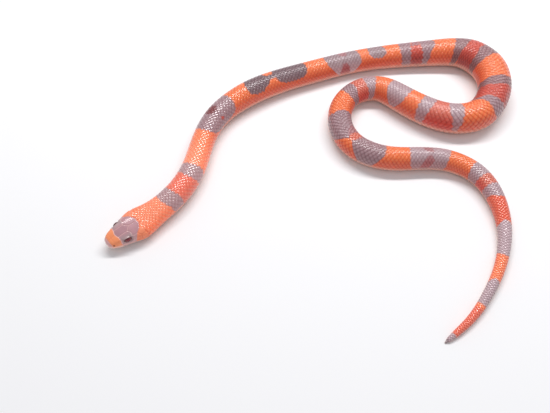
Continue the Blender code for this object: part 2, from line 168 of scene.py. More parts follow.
def place(station, angle, out=0.0):
    """Points in metres. The section's polar radius, (|sin|/half)^n + (|cos|/tall)^n to the power
    -1/n, less the coat's depth, gives the skin, which lies flat where the floor bears it. The
    point then moves on outwards by the coat's depth and the distance asked for."""
    station, angle, out = np.broadcast_arrays(np.asarray(station, float), angle, out)
    half, top, bottom, middle, fullness = section(station)
    turned = np.radians(angle)
    tall = np.where(np.cos(turned) >= 0, top - middle, middle - bottom)
    wide_share = (np.abs(np.sin(turned)) / half) ** fullness
    tall_share = (np.abs(np.cos(turned)) / tall) ** fullness
    coat = coat_depth(station)
    far = (wide_share + tall_share) ** (-1 / fullness) - coat
    lean = turned + np.radians(through(station, HEAD_LEAN))
    left = (far + coat + out) * np.sin(lean)
    level = np.maximum(middle + far * np.cos(lean), coat) + (coat + out) * np.cos(lean)
    heading = np.interp(station, curve_length, curve_heading)
    x = np.interp(station, curve_length, curve_x) + np.sin(heading) * left
    y = np.interp(station, curve_length, curve_y) - np.cos(heading) * left
    return np.stack([x, y, np.maximum(level, 0.0)], axis=-1) * MM


def linear(*shades):
    """Linear colour of a shade given as three display values from 0 to 255."""
    share = np.array(shades) / 255
    return np.where(share <= 0.04045, share / 12.92, ((share + 0.055) / 1.055) ** 2.4)


# Pigment lies in the skin and in the scales alike. The ground is orange, redder low on the flanks
# and pale on the belly. Lavender saddles and rings lie over it, many of them in pairs that hold a
# red ring between them, as the species' black and red bands do.
GROUND_BACK, GROUND_FLANK = linear(232, 127, 74), linear(214, 98, 60)
# The pale ground of the neck and the tail, partly painted light and sheen
PALE_BACK, PALE_FLANK = linear(249, 155, 120), linear(249, 139, 99)
BELLY = linear(240, 196, 178)
PIGMENTS = {
    "orange": (GROUND_BACK, GROUND_FLANK),
    "lavender": (linear(164, 132, 136), linear(158, 122, 126)),
    # Neck and tail lavender are paler, like the ground there, partly by painted light and sheen
    "neck lavender": (linear(184, 150, 151), linear(180, 141, 143)),
    # Lavender darkened by painted shade, for the saddles at stations 80 to 105, which lie in shade
    "shaded lavender": (linear(124, 97, 102), linear(146, 112, 114)),
    "silver lavender": (linear(160, 135, 138), linear(194, 162, 165)),
    # Lavender darkened and browned by painted shade, most on the flanks, for saddles on the loop that
    # turns from the light
    "shadowed lavender": (linear(154, 116, 118), linear(136, 84, 84)),
    "pale lavender": (linear(181, 155, 159), linear(175, 130, 132)),
    "tail lavender": (linear(192, 168, 172), linear(184, 158, 160)),
    "red": (linear(200, 88, 70), linear(168, 60, 50)),
    "hind red": (linear(210, 118, 98), linear(204, 74, 58)),
    "salmon": (linear(231, 124, 100), linear(226, 122, 100)),
    "coral": (linear(224, 108, 79), linear(217, 107, 80)),
    "rose": (linear(172, 122, 125), linear(178, 96, 96)),
    "dusk": (linear(132, 60, 63), linear(128, 62, 62)),
}
# Each patch of pigment, with its start and end along the body at a few angles round it, from
# the right flank over the back to the left one. A ring runs on under the belly.
PATCHES = [
    ("neck lavender", (-100, 21.8, 26.3), (-50, 21.1, 26.0), (0, 20.5, 25.5), (60, 21.6, 26.1),
     (104, 22.5, 26.1)),
    ("salmon", (-180, 26.8, 34.1), (-50, 26.0, 34.2), (0, 25.5, 32.9), (60, 26.1, 33.4),
     (180, 26.2, 33.3)),
    ("neck lavender", (-108, 34.2, 38.3), (-50, 34.2, 38.6), (0, 32.9, 38.1), (60, 33.4, 38.4),
     (112, 34.8, 37.6)),
    ("lavender", (-100, 59.9, 67.3), (-84, 56.9, 69.8), (-50, 55.1, 71.6), (0, 53.9, 71.8),
     (60, 54.8, 71.2), (84, 57.1, 69.7), (98, 60.5, 66.5)),
    ("dusk", (-62, 62.8, 65.2), (-45, 61.5, 65.8), (-15, 61.5, 65.7), (4, 62.5, 64.1)),
    ("red", (46, 62.8, 63.4), (54, 62.3, 64.0), (62, 62.8, 63.6)),
    # The next three patches are lavender with painted shade over them
    ("shaded lavender", (-98, 84.4, 85.8), (-84, 81.9, 87.8), (-45, 80.9, 88.1), (-5, 79.6, 88.6),
     (25, 79.1, 89.4), (52, 79.8, 86.8), (66, 82.2, 85.2)),
    ("shaded lavender", (-4, 87.9, 92.5), (10, 87.3, 93.0), (24, 89.1, 92.5)),
    ("shaded lavender", (-96, 96.8, 99.5), (-84, 93.3, 102.5), (-45, 92.3, 104.0), (0, 91.5, 104.9),
     (28, 91.9, 104.7), (54, 93.2, 103.8), (68, 96.1, 100.4)),
    ("silver lavender", (-118, 116.0, 124.0), (-60, 113.6, 125.6), (0, 112.7, 126.5), (35, 113.2, 126.8),
     (60, 114.2, 126.8), (90, 116.2, 124.6), (122, 117.6, 122.2)),
    ("rose", (-58, 119.5, 121.7), (-25, 118.7, 122.3), (6, 119.9, 121.3)),
    ("rose", (48, 119.3, 120.9), (70, 118.4, 121.4), (96, 117.6, 122.0), (118, 118.2, 121.6)),
    ("silver lavender", (-84, 133.0, 134.0), (-60, 131.5, 135.6), (0, 130.4, 136.9), (30, 130.6, 137.3),
     (46, 131.5, 136.4), (55, 133.5, 134.6)),
    ("lavender", (-118, 143.7, 147.6), (-60, 142.7, 147.7), (0, 142.5, 147.1), (60, 143.0, 146.7),
     (126, 143.4, 146.6)),
    ("rose", (-180, 147.4, 150.6), (-40, 147.8, 150.5), (8, 147.0, 150.7)),
    ("red", (8, 147.0, 150.7), (60, 146.7, 151.2), (180, 146.6, 150.6)),
    ("lavender", (-112, 151.5, 154.1), (-60, 150.6, 155.3), (0, 150.7, 156.3), (60, 151.2, 154.1),
     (112, 150.9, 153.0)),
    # The saddles from here to station 198 are lavender with painted shade, deepest low on the flanks
    ("shadowed lavender", (-118, 165.0, 169.1), (-60, 164.3, 169.1), (0, 164.1, 169.2), (60, 163.2, 167.4),
     (124, 162.3, 164.4)),
    ("red", (-180, 169.0, 173.9), (-60, 169.1, 173.9), (0, 169.2, 174.2), (60, 167.4, 176.2),
     (180, 165.5, 176.4)),
    ("shadowed lavender", (-118, 173.9, 178.9), (-60, 173.9, 178.7), (0, 174.2, 179.8), (60, 176.2, 180.8),
     (118, 176.3, 179.7)),
    ("shadowed lavender", (-120, 187.6, 190.6), (-60, 189.0, 192.7), (0, 190.6, 195.5), (60, 192.7, 196.9),
     (116, 193.3, 197.5)),
    ("red", (-180, 191.4, 200.2), (-60, 192.7, 200.9), (0, 195.5, 201.9), (60, 196.9, 205.9),
     (180, 198.2, 206.7)),
    ("lavender", (-116, 200.6, 204.0), (-60, 200.9, 205.7), (0, 201.9, 205.3), (60, 205.9, 207.6),
     (110, 206.2, 207.4)),
    ("pale lavender", (-108, 216.4, 217.7), (-60, 215.3, 218.1), (0, 214.5, 219.6), (60, 215.0, 220.0),
     (118, 215.2, 219.9)),
    ("hind red", (-180, 217.2, 227.5), (-60, 218.0, 225.4), (0, 219.6, 224.6), (60, 220.0, 224.3),
     (180, 219.7, 224.4)),
    ("pale lavender", (-108, 226.2, 228.5), (-60, 225.4, 229.0), (0, 224.6, 229.3), (60, 224.3, 229.5),
     (116, 224.3, 228.6)),
    ("pale lavender", (-98, 236.7, 239.0), (-60, 234.7, 241.4), (0, 234.4, 243.1), (60, 235.4, 243.0),
     (92, 237.2, 241.1)),
    ("pale lavender", (-116, 250.3, 253.2), (-60, 248.8, 252.5), (0, 248.5, 252.9), (60, 248.7, 252.6),
     (118, 249.6, 252.4)),
    ("hind red", (-180, 253.9, 260.1), (-60, 252.5, 258.7), (0, 252.9, 257.0), (60, 252.6, 256.8),
     (180, 252.2, 256.4)),
    ("lavender", (-114, 259.3, 262.6), (-60, 258.7, 262.6), (0, 257.0, 261.9), (60, 256.8, 260.5),
     (118, 256.6, 259.8)),
    ("lavender", (-122, 273.6, 294.1), (-60, 270.9, 296.9), (0, 271.5, 297.6), (40, 272.5, 297.1),
     (60, 272.2, 296.3), (128, 274.0, 293.3)),
    ("rose", (-90, 280.0, 289.0), (-60, 279.4, 288.4), (-30, 279.8, 288.0), (0, 282.6, 287.9),
     (16, 283.7, 287.0)),
    ("hind red", (-50, 284.0, 286.0), (-20, 284.0, 287.2), (12, 284.2, 286.8), (26, 284.8, 286.0)),
    ("orange", (24, 285.0, 285.8), (44, 283.4, 287.4), (60, 283.0, 288.3), (85, 281.0, 289.5),
     (180, 279.0, 290.5)),
    ("pale lavender", (-118, 307.0, 317.5), (-60, 305.8, 318.8), (0, 305.4, 318.9), (60, 305.2, 318.5),
     (128, 306.3, 317.0)),
    ("rose", (-34, 310.7, 312.9), (-12, 310.2, 313.3), (8, 311.5, 313.2)),
    ("rose", (26, 311.6, 312.8), (50, 310.4, 313.4), (72, 309.4, 312.9), (96, 308.6, 311.6)),
    ("pale lavender", (-118, 327.7, 332.3), (-60, 327.0, 332.5), (0, 327.0, 332.1), (60, 327.6, 332.1),
     (124, 328.2, 331.9)),
    ("hind red", (-180, 332.4, 336.0), (0, 332.1, 335.9), (60, 332.1, 336.2), (180, 331.8, 336.3)),
    ("pale lavender", (-118, 336.0, 341.0), (-60, 335.9, 341.1), (0, 335.9, 341.2), (60, 336.2, 339.9),
     (124, 336.3, 339.6)),
    ("coral", (-180, 340.9, 350.1), (0, 341.2, 349.9), (60, 339.9, 351.2), (180, 339.3, 351.8)),
    ("tail lavender", (-124, 351.9, 361.7), (0, 349.9, 362.7), (60, 351.2, 362.2), (132, 351.6, 361.5)),
    ("tail lavender", (-124, 372.7, 380.6), (0, 371.7, 381.7), (60, 373.0, 381.2), (132, 373.7, 380.4)),
    ("salmon", (-180, 383.0, 394.4), (180, 383.0, 394.4)),
    ("tail lavender", (-180, 394.4, 399.0), (180, 394.4, 399.0)),
]
PATCH_BLUR, TURN_BLUR = 0.4, 7.0
FLANK_ANGLES = (28, 84)
BELLY_ANGLES, BELLY_SHARE = (92, 120), 0.8
# The ground is paler on the neck and the tail than on the trunk, partly painted light and sheen, which
# fall stronger there, and partly the young snake's paler tail
PALE_SHARE = [(0, 1), (40, 0.9), (62, 0), (335, 0), (354, 0.6), (398, 0.6)]


def markings(station, angle):
    """Colour at a place. A patch's start and end follow smooth curves through its rows, its
    edges are a little soft, and low on the flanks every colour pales towards the belly's."""
    low = np.abs(angle)
    flank_share = ramp(low, *FLANK_ANGLES)[..., None]
    pale = through(station, PALE_SHARE)[..., None]
    back = GROUND_BACK + (PALE_BACK - GROUND_BACK) * pale
    colour = back + (GROUND_FLANK + (PALE_FLANK - GROUND_FLANK) * pale - back) * flank_share
    for pigment, *rows in PATCHES:
        turns, starts, ends = np.array(rows, float).T
        start = through(angle, list(zip(turns, starts)))
        end = through(angle, list(zip(turns, ends)))
        inside = np.minimum(station - start, end - station) / PATCH_BLUR + 0.5
        right = 1.0 if turns[0] == -180 else (angle - turns[0]) / TURN_BLUR + 0.5
        left = 1.0 if turns[-1] == 180 else (turns[-1] - angle) / TURN_BLUR + 0.5
        inside = np.clip(np.minimum(inside, np.minimum(left, right)), 0, 1)[..., None]
        on_back, on_flank = PIGMENTS[pigment]
        colour = colour + (on_back + (on_flank - on_back) * flank_share - colour) * inside
    return colour + (BELLY - colour) * (BELLY_SHARE * ramp(low, *BELLY_ANGLES))[..., None]


# Corners of the head's shields, each a station and an angle on the left half
SNOUT_MID, SNOUT_OUT = (0.55, 0), (1.0, 60)
NASAL_MID, NASAL_OUT = (1.75, 0), (1.95, 60)
MUZZLE_MID, MUZZLE_IN, MUZZLE_OUT = (3.2, 0), (3.6, 32), (3.75, 57)
FRONTAL_OUT, FRONTAL_REAR = (6.75, 29), (8.15, 0)
BROW_MID, BROW_IN, BROW_OUT = (5.4, 63), (7.45, 44), (7.2, 58)
CROWN_SIDE, CROWN_OUT, CROWN_REAR, CROWN_MID = (8.9, 61), (10.3, 46), (11.1, 14), (10.9, 0)
LIP_FRONT, LIP_REAR, TEMPLE = (0.9, 88), (11.4, 91), (9.75, 71)
# Seams of the left half, as places that each line passes through
SEAMS = [
    [SNOUT_MID, NASAL_MID, MUZZLE_MID],
    [SNOUT_MID, (0.8, 32), SNOUT_OUT, LIP_FRONT],
    [NASAL_MID, (1.8, 30), NASAL_OUT],
    [SNOUT_OUT, NASAL_OUT, MUZZLE_OUT],
    [MUZZLE_MID, (3.35, 17), MUZZLE_IN, MUZZLE_OUT],
    [MUZZLE_IN, (5.1, 29.5), FRONTAL_OUT, FRONTAL_REAR],
    [FRONTAL_OUT, BROW_IN, BROW_OUT, (8.0, 62), CROWN_SIDE, (9.8, 56), CROWN_OUT, (10.9, 32),
     CROWN_REAR, CROWN_MID],
    [FRONTAL_REAR, CROWN_MID],
    [MUZZLE_OUT, (4.5, 61.5), BROW_MID, (6.4, 62.5), BROW_OUT],
    [NASAL_OUT, (2.4, 75), (2.15, 88)],
    [MUZZLE_OUT, (3.8, 75), (3.85, 88)],
    [(4.7, 63), (4.4, 75), (4.55, 89)],
    [(8.0, 62), (7.8, 75), (7.9, 91)],
    [(6.95, 75), (7.8, 75)],
    [CROWN_SIDE, TEMPLE, (9.6, 91)],
    [TEMPLE, (11.1, 71)],
    [CROWN_OUT, (11.2, 57), (11.1, 71), (11.7, 80), LIP_REAR],
    [LIP_FRONT, (2.15, 88), (3.85, 88), (4.7, 89)],
    [(6.7, 91), (7.9, 91), (9.6, 91), LIP_REAR],
    [(1.3, 180), (1.5, 158), (2.4, 147), (3.7, 146), (5.4, 148), (6.5, 152), (6.3, 180)],
    [(0.5, 180), (7.0, 180)],
    [(3.7, 146), (3.95, 180)],
]
UPPER_LIPS = [0.75, 1.7, 2.8, 4.2, 5.7, 7.3, 9.1, 11.2]
LOWER_LIPS = [0.6, 1.2, 2.0, 3.0, 4.2, 5.6, 7.2, 9.0, 10.9]
UPPER_LIP_TOP = [(0.7, 88), (4.7, 89), (6.7, 91), (11.4, 91)]
LOWER_LIP_HEIGHT, LIP_SLANT = 0.85, 0.1
MOUTH_LINE = [(0, 2.6), (2, 2.45), (5.6, 2.3), (9, 2.15), (12, 2.25)]
MOUTH_ENDS = (0.08, 11.6)
MOUTH_STEPS = 36
SEAM_STEP = 0.5
# Heights over the solids' surface, and the half widths of seams and creases
SHIELD_TOP, SEAM_FLOOR = 0.1, -0.03
SEAM_SLOPE = 0.1
MOUTH_DEPTH, MOUTH_HALF = 0.3, 0.13
LIP_SWELL, LIP_OFFSET, LIP_HALF = 0.1, 0.42, 0.3
NOSTRIL, NOSTRIL_DEPTH, NOSTRIL_HALF = (1.4, 75), 0.42, 0.2
LOREAL, LOREAL_DEPTH, LOREAL_HALF = (3.0, 74), 0.13, 0.75
BROW_LINE = [(4.4, 56), (5.6, 58), (6.9, 56)]
BROW_RISE, BROW_HALF = 0.1, 0.5
MUZZLE_SEAMS = [(0, 0.75), (1.6, 0.45), (3.2, 0.5), (3.7, 1.0), (20, 1.0)]
# Rear limit of the head's shields, as station against the angle from the back, and its fade
SHIELDS_END = [
    (0, 10.95), (14, 11.12), (46, 10.35), (57, 11.2), (71, 11.15), (80, 11.7), (91, 11.45),
    (103, 11.9), (122, 10.2), (146, 7.2), (180, 6.7),
]
SHIELD_EDGE = (-0.05, 0.2)
# The eye: its station, tilt of its axis from upright and forwards, how far the flattened ball
# stands in and up from the solid one, and its height and depth as shares of its length
EYE_STATION, EYE_TILT, EYE_FORWARD = 5.7, 74, 8
EYE_IN, EYE_UP = 0.1, 0.1
EYE_TALL, EYE_DEEP = 0.82, 0.66
# The opening's half sizes, less under the brow, its wall and the skin's cover over the ball
OPENING_LONG, OPENING_UP, OPENING_DOWN = 1.14, {1: 0.76, -1: 0.93}, 0.78
SOCKET_WALL, SOCKET_FLOOR = (-0.01, 0.12), -0.3
COVER_SHARE, COVER, SOCKET_SLOPE = 1.08, 0.04, 0.7
SOCKET_RIM, SOCKET_RIM_OUT, SOCKET_RIM_HALF = 0.04, 0.26, 0.16
# How low and how far from the opening the skin still gives way to it, and what stands for farther
SOCKET_LOWEST, SOCKET_REACH = -1.5, 2
FAR_OFF = 9.0
HEAD_COLUMNS, BODY_COLUMNS = 310, 62
TOP_CROWDING = 0.09
HEAD_RING_STEPS = [(0.0, 0.02), (0.3, 0.035), (1.0, 0.062), (9.0, 0.064), (15.0, 0.13)]
HEAD_GRID_END = 15.0
BODY_RING_STEP = 1.0
TIP_STATION = 397.9
# Skin under the scales is darker, from behind the head's shields on
UNDER_SHADE, UNDER_BEGINS = 0.7, (11.5, 14.5)


def three_d(line):
    """Points in metres along a line of places, at close steps."""
    line = np.array(line, float)
    parts = []
    for start, end in zip(line[:-1], line[1:]):
        run = np.linalg.norm(place(*start) - place(*end)) / MM
        share = np.linspace(0, 1, max(1, round(run / SEAM_STEP)) + 1)[:, None]
        parts.append(start + (end - start) * share)
    stations, angles = np.concatenate(parts).T
    return place(stations, angles)


def distance_to(points, lines):
    """Distance in mm from each point to the nearest straight run of the lines."""
    nearest = np.full(len(points), 1.0)
    for line in lines:
        for start, end in zip(line[:-1], line[1:]):
            along = end - start
            size = along @ along
            if size > 0:
                share = np.clip((points - start) @ along / size, 0, 1)[:, None]
                gap = np.linalg.norm(points - start - share * along, axis=1)
                nearest = np.minimum(nearest, gap)
    return nearest / MM


def bell(distance, half):
    """Bell curve: 1 at no distance, 0.37 at the half width."""
    return np.exp(-(distance / half) ** 2)


def other_side(line):
    """The same line on the right half."""
    return [(station, -angle) for station, angle in line]


def height_angle(station, height):
    """Angle at which the surface passes a height under the widest line: the section's formula
    solved for its half width at that height."""
    half, _, bottom, middle, fullness = section(np.asarray(station, float))
    share = np.clip((middle - height) / (middle - bottom), 0, 1)
    side = half * (1 - share ** fullness) ** (1 / fullness)
    return np.degrees(np.arctan2(side, height - middle))


def lip_lines():
    """The mouth's line from the front to its corner, and the seams between the lip shields of
    the left half, each from the mouth's line up or down to the edge of its row."""
    stations = MOUTH_ENDS[0] + (MOUTH_ENDS[1] - MOUTH_ENDS[0]) * np.linspace(0, 1, MOUTH_STEPS) ** 2
    mouth = list(zip(stations, height_angle(stations, through(stations, MOUTH_LINE))))
    seams = []
    for station in UPPER_LIPS:
        at_mouth = float(height_angle(station, through(station, MOUTH_LINE)))
        top = float(through(station, UPPER_LIP_TOP))
        seams.append([(station, at_mouth), (station + LIP_SLANT, top)])
    edge = []
    for station in LOWER_LIPS:
        level = through(station, MOUTH_LINE)
        at_mouth = float(height_angle(station, level))
        low = (station + LIP_SLANT, float(height_angle(station, level - LOWER_LIP_HEIGHT)))
        seams.append([(station, at_mouth), low])
        edge.append(low)
    return mouth, seams + [edge]


def eye_frame(side):
    """Middle of the flattened ball in metres, its half sizes in mm forwards, up and along its
    axis, and the unit vectors forwards, up and outwards along the axis."""
    low, high = np.array(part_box("eye_left" if side > 0 else "eye_right"))
    radius = (high[2] - low[2]) / 2 / MM
    heading = np.interp(EYE_STATION, curve_length, curve_heading)
    tilt = np.radians(side * EYE_TILT + HEAD_LEAN[0][1])
    left = np.array([np.sin(heading), -np.cos(heading), 0.0])
    ahead = -np.array([np.cos(heading), np.sin(heading), 0.0])
    axis = np.sin(tilt) * left + np.cos(tilt) * np.array([0, 0, 1.0])
    axis = axis + np.tan(np.radians(EYE_FORWARD)) * ahead
    axis /= np.linalg.norm(axis)
    forward = ahead - (ahead @ axis) * axis
    forward /= np.linalg.norm(forward)
    up = np.cross(axis, forward)
    up *= np.sign(up[2])
    sizes = radius * np.array([1.0, EYE_TALL, EYE_DEEP])
    middle = (low + high) / 2 + (axis * (radius - sizes[2] - EYE_IN) + up * EYE_UP) * MM
    return middle, sizes, np.array([forward, up, axis])


def socket_place(points, side):
    """For each point, how far it is outside the eye's opening, an oval that is low under the
    brow, its height along the eye's axis over the ball's middle, the height there of a close
    cover over the ball, all in mm, whether the ball is under it, and the axis."""
    middle, sizes, frame_of_eye = eye_frame(side)
    along, above, height = frame_of_eye @ (points - middle).T / MM
    tall = np.where(above > 0, OPENING_UP[side], OPENING_DOWN)
    outside = (np.hypot(along / OPENING_LONG, above / tall) - 1) * OPENING_LONG
    spread = (along / sizes[0]) ** 2 + (above / sizes[1]) ** 2
    dome = sizes[2] * np.sqrt(np.clip(COVER_SHARE ** 2 - spread, 0, None)) + COVER
    return outside, height, dome, spread < COVER_SHARE ** 2, frame_of_eye[2]


def head_surface(station, angle):
    """Points of the head's skin with its relief, and the distances that its colours need."""
    bare = place(station, angle)
    mouth, lips = lip_lines()
    seams = SEAMS + lips
    seams = [three_d(line) for line in seams + [other_side(line) for line in seams]]
    seam = distance_to(bare, seams)
    mouth_gap = distance_to(bare, [three_d(mouth), three_d(other_side(mouth))])
    brow = distance_to(bare, [three_d(BROW_LINE), three_d(other_side(BROW_LINE))])
    nostril, loreal = [
        np.minimum(*[np.linalg.norm(bare - place(spot[0], side * spot[1]), axis=1)
                     for side in (1, -1)]) / MM for spot in (NOSTRIL, LOREAL)]
    shields = 1 - ramp(station - through(np.abs(angle), SHIELDS_END), *SHIELD_EDGE)
    groove = through(station, MUZZLE_SEAMS) * bell(seam, SEAM_SLOPE)
    out = SHIELD_TOP + (SEAM_FLOOR - SHIELD_TOP) * groove
    for height, distance, half in (
            (LIP_SWELL, mouth_gap - LIP_OFFSET, LIP_HALF), (-MOUTH_DEPTH, mouth_gap, MOUTH_HALF),
            (-NOSTRIL_DEPTH, nostril, NOSTRIL_HALF), (-LOREAL_DEPTH, loreal, LOREAL_HALF),
            (BROW_RISE, brow, BROW_HALF)):
        out = out + height * bell(distance, half)
    out = out * shields - coat_depth(station) * (1 - shields)
    points = place(station, angle, out)
    rim = np.full(len(station), FAR_OFF)
    for side in (1, -1):
        outside, height, cover, over_ball, axis = socket_place(points, side)
        on_side = (height > SOCKET_LOWEST) & (outside < SOCKET_REACH)
        inside = 1 - ramp(outside, *SOCKET_WALL)
        lid = cover + (height - cover) * ramp(outside, 0, SOCKET_SLOPE)
        lid = np.where(height > cover, lid, np.where(over_ball, cover, height))
        lid = lid + SOCKET_RIM * bell(outside - SOCKET_RIM_OUT, SOCKET_RIM_HALF)
        shift = (lid + (SOCKET_FLOOR - lid) * inside - height) * on_side
        points = points + (shift * MM)[:, None] * axis
        rim = np.where(on_side, np.minimum(rim, outside), rim)
    return points, seam, mouth_gap, nostril, brow, rim, shields


# The head's colours: an orange muzzle, a lavender cap over the crown and round the eyes, greyer
# brows, pale pink lips and throat, pale seams and a lavender rim on the snout, with some painted
# sky reflection on the cap and painted shade in the mouth's crease, the nostrils and the eyes' openings
# The cap's shades are lighter in part by painted sky reflection on the crown
CAP, CAP_BROW = linear(188, 140, 146), linear(174, 152, 152)
CAP_DARK, CAP_SIDE = linear(175, 130, 138), linear(208, 164, 164)
MUZZLE = linear(254, 154, 104)
CROWN_SEAM = linear(232, 188, 184)
WARM_SEAM = linear(232, 120, 84)
RIM_GREY = linear(216, 174, 176)
LIP_PINK = linear(248, 200, 186)
LID_PALE = linear(196, 164, 162)
THROAT = linear(242, 206, 190)
# Painted shade for the inside of each eye's opening, the nostrils and the mouth's crease
SOCKET_PAINTED_SHADE = linear(58, 26, 30)
NOSTRIL_PAINTED_SHADE = linear(110, 34, 34)
MOUTH_CREASE_SHADE = linear(150, 84, 76)
# Outlines of the cap and the lips, as station against angle or the other way round, how far the
# colours blend at their edges, and the share of each colour that is laid on
CAP_FRONT = [(0, 3.2), (17, 3.35), (32, 3.6), (57, 3.75), (74, 3.62), (92, 3.9), (180, 4.0)]
CAP_REAR = [(0, 10.95), (14, 11.1), (46, 10.3), (60, 8.95), (77, 8.1), (92, 7.9), (180, 7.0)]
CAP_FRONT_BLUR, CAP_REAR_BLUR = 0.08, 0.1
CAP_LINE_HALF, CAP_LINE_ANGLES, CAP_LINE_SHARE = 0.16, (90, 100), 0.7
MUZZLE_END = (3.2, 3.5)
FRONTAL_ANGLES, FRONTAL_END, FRONTAL_SHARE = (22, 34), (6.6, 8.2), 0.6
SIDE_ANGLES, SIDE_SHARE = (55, 76), 0.8
BROW_SPREAD, BROW_END, BROW_SHARE = 1.0, (7.2, 7.8), 0.85
WARM_SEAM_HALF, WARM_SEAM_SHARE = 0.11, 0.3
CROWN_SEAM_HALF, CROWN_SEAM_SHARE = 0.09, 0.8
SNOUT_END, SNOUT_BACK, SNOUT_SIDES = (0.5, 1.0), 0.25, (40, 90)
SNOUT_UNDER, SNOUT_SHARE = (120, 150), 0.85
LIP_TOP, LIP_BLUR = [(0, 82), (4, 86), (7, 90), (9, 97), (13, 103)], 8
LIP_END, LIP_LOSS, LIP_SHARE = (9.5, 13.0), 0.45, 0.85
THROAT_ANGLES, THROAT_END, THROAT_SHARE = (104, 122), (13, 15), 0.9
CREASE_HALF, CREASE_SHARE, NOSTRIL_SPREAD = 0.1, 0.8, 0.26
LID_OUT, LID_HALF, LID_SHARE, SOCKET_EDGE = 0.28, 0.14, 0.7, (0.02, 0.16)


def mix(colour, other, share):
    """Blend towards another colour by a share at each place."""
    return colour + (other - colour) * np.clip(share, 0, 1)[..., None]


def head_colour(station, angle, seam, mouth_gap, nostril, brow, rim, shields):
    """Colour of the head's skin: the body's markings behind the shields, and the head's own
    colours, its painted shade and a little painted sky reflection laid over one another in front,
    each by how far inside its outline a place is."""
    low = np.abs(angle)
    from_front = station - through(low, CAP_FRONT)
    from_rear = station - through(low, CAP_REAR)
    cap = ramp(from_front, -CAP_FRONT_BLUR, CAP_FRONT_BLUR)
    cap = cap * (1 - ramp(from_rear, -CAP_REAR_BLUR, CAP_REAR_BLUR))
    frontal = cap * (1 - ramp(low, *FRONTAL_ANGLES)) * (1 - ramp(station, *FRONTAL_END))
    snout = 1 - ramp(station - SNOUT_BACK * ramp(low, *SNOUT_SIDES), *SNOUT_END)
    lips = ramp(low - through(station, LIP_TOP), 0, LIP_BLUR) * (1 - LIP_LOSS * cap)
    colour = markings(station, angle)
    for shade, share in (
            (MUZZLE, 1 - ramp(station, *MUZZLE_END)),
            (CAP, cap),
            (CAP_DARK, FRONTAL_SHARE * frontal),
            (CAP_SIDE, SIDE_SHARE * cap * ramp(low, *SIDE_ANGLES)),
            (CAP_BROW, BROW_SHARE * cap * bell(brow, BROW_SPREAD) * (1 - ramp(station, *BROW_END))),
            (WARM_SEAM, WARM_SEAM_SHARE * bell(seam, WARM_SEAM_HALF) * shields * (1 - cap)),
            (RIM_GREY, SNOUT_SHARE * snout * (1 - ramp(low, *SNOUT_UNDER))),
            (LIP_PINK, LIP_SHARE * lips * (1 - ramp(station, *LIP_END))),
            (THROAT, THROAT_SHARE * ramp(low, *THROAT_ANGLES) * (1 - ramp(station, *THROAT_END))),
            (CROWN_SEAM, CROWN_SEAM_SHARE * bell(seam, CROWN_SEAM_HALF) * cap),
            (CROWN_SEAM, CAP_LINE_SHARE * bell(from_front, CAP_LINE_HALF)
             * (1 - ramp(low, *CAP_LINE_ANGLES))),
            # Painted shade in the mouth's crease and the nostrils, a pale lid round each eye, and
            # painted shade inside each eye's opening
            (MOUTH_CREASE_SHADE, CREASE_SHARE * bell(mouth_gap, CREASE_HALF)),
            (NOSTRIL_PAINTED_SHADE, bell(nostril, NOSTRIL_SPREAD)),
            (LID_PALE, LID_SHARE * bell(rim - LID_OUT, LID_HALF)),
            (SOCKET_PAINTED_SHADE, 1 - ramp(rim, *SOCKET_EDGE))):
        colour = mix(colour, shade, share)
    return colour


# Unwrap of the skin: the head on a strip of its own and the body on four more
STRIPS = 5
STRIP_START, STRIP_LENGTH = HEAD_GRID_END, 96.0
STRIP_FILL = 0.96


def unwrap(station, angle, strip=None):
    """Place on the flat map, from 0 to 1 both ways: along the strip, and across it."""
    if strip is None:
        strip = strip_of(station)
    start = np.where(strip == 0, 0.0, STRIP_START + (strip - 1) * STRIP_LENGTH)
    length = np.where(strip == 0, STRIP_START, STRIP_LENGTH)
    along = (station - start) / length
    across = (angle + 180) / 360
    margin = (1 - STRIP_FILL) / 2
    return np.stack([margin + along * STRIP_FILL,
                     (strip + margin + across * STRIP_FILL) / STRIPS], axis=-1)


def strip_of(station):
    """Number of the strip that holds a station."""
    body = 1 + np.floor((station - STRIP_START) / STRIP_LENGTH)
    return np.where(station < STRIP_START, 0, np.clip(body, 1, STRIPS - 1))


def new_object(name, data):
    """Object over a mesh, a lamp or a camera, linked to the scene."""
    obj = bpy.data.objects.new(name, data)
    bpy.context.scene.collection.objects.link(obj)
    return obj


def make_piece(name, points, faces, colours, uvs, finish):
    """Mesh object from points in metres, arrays of faces with the same number of corners
    each, a colour at each point and a place on the flat map at each corner."""
    mesh = bpy.data.meshes.new(name)
    corners = np.concatenate([group.ravel() for group in faces]).astype(np.int32)
    sizes = np.concatenate([np.full(len(group), group.shape[1]) for group in faces])
    starts = np.concatenate([[0], np.cumsum(sizes)[:-1]]).astype(np.int32)
    mesh.vertices.add(len(points))
    mesh.vertices.foreach_set("co", points.astype(np.float32).ravel())
    mesh.loops.add(len(corners))
    mesh.loops.foreach_set("vertex_index", corners)
    mesh.polygons.add(len(sizes))
    mesh.polygons.foreach_set("loop_start", starts)
    mesh.update(calc_edges=True)
    mesh.validate()
    mesh.shade_smooth()
    pigment = mesh.color_attributes.new("pigment", "FLOAT_COLOR", "POINT")
    opaque = np.concatenate([colours, np.ones((len(colours), 1))], axis=1)
    pigment.data.foreach_set("color", opaque.astype(np.float32).ravel())
    layer = mesh.uv_layers.new(name="OFBake")
    flat = np.concatenate([group.reshape(-1, 2) for group in uvs])
    layer.data.foreach_set("uv", flat.astype(np.float32).ravel())
    mesh.materials.append(finish)
    return new_object(name, mesh)


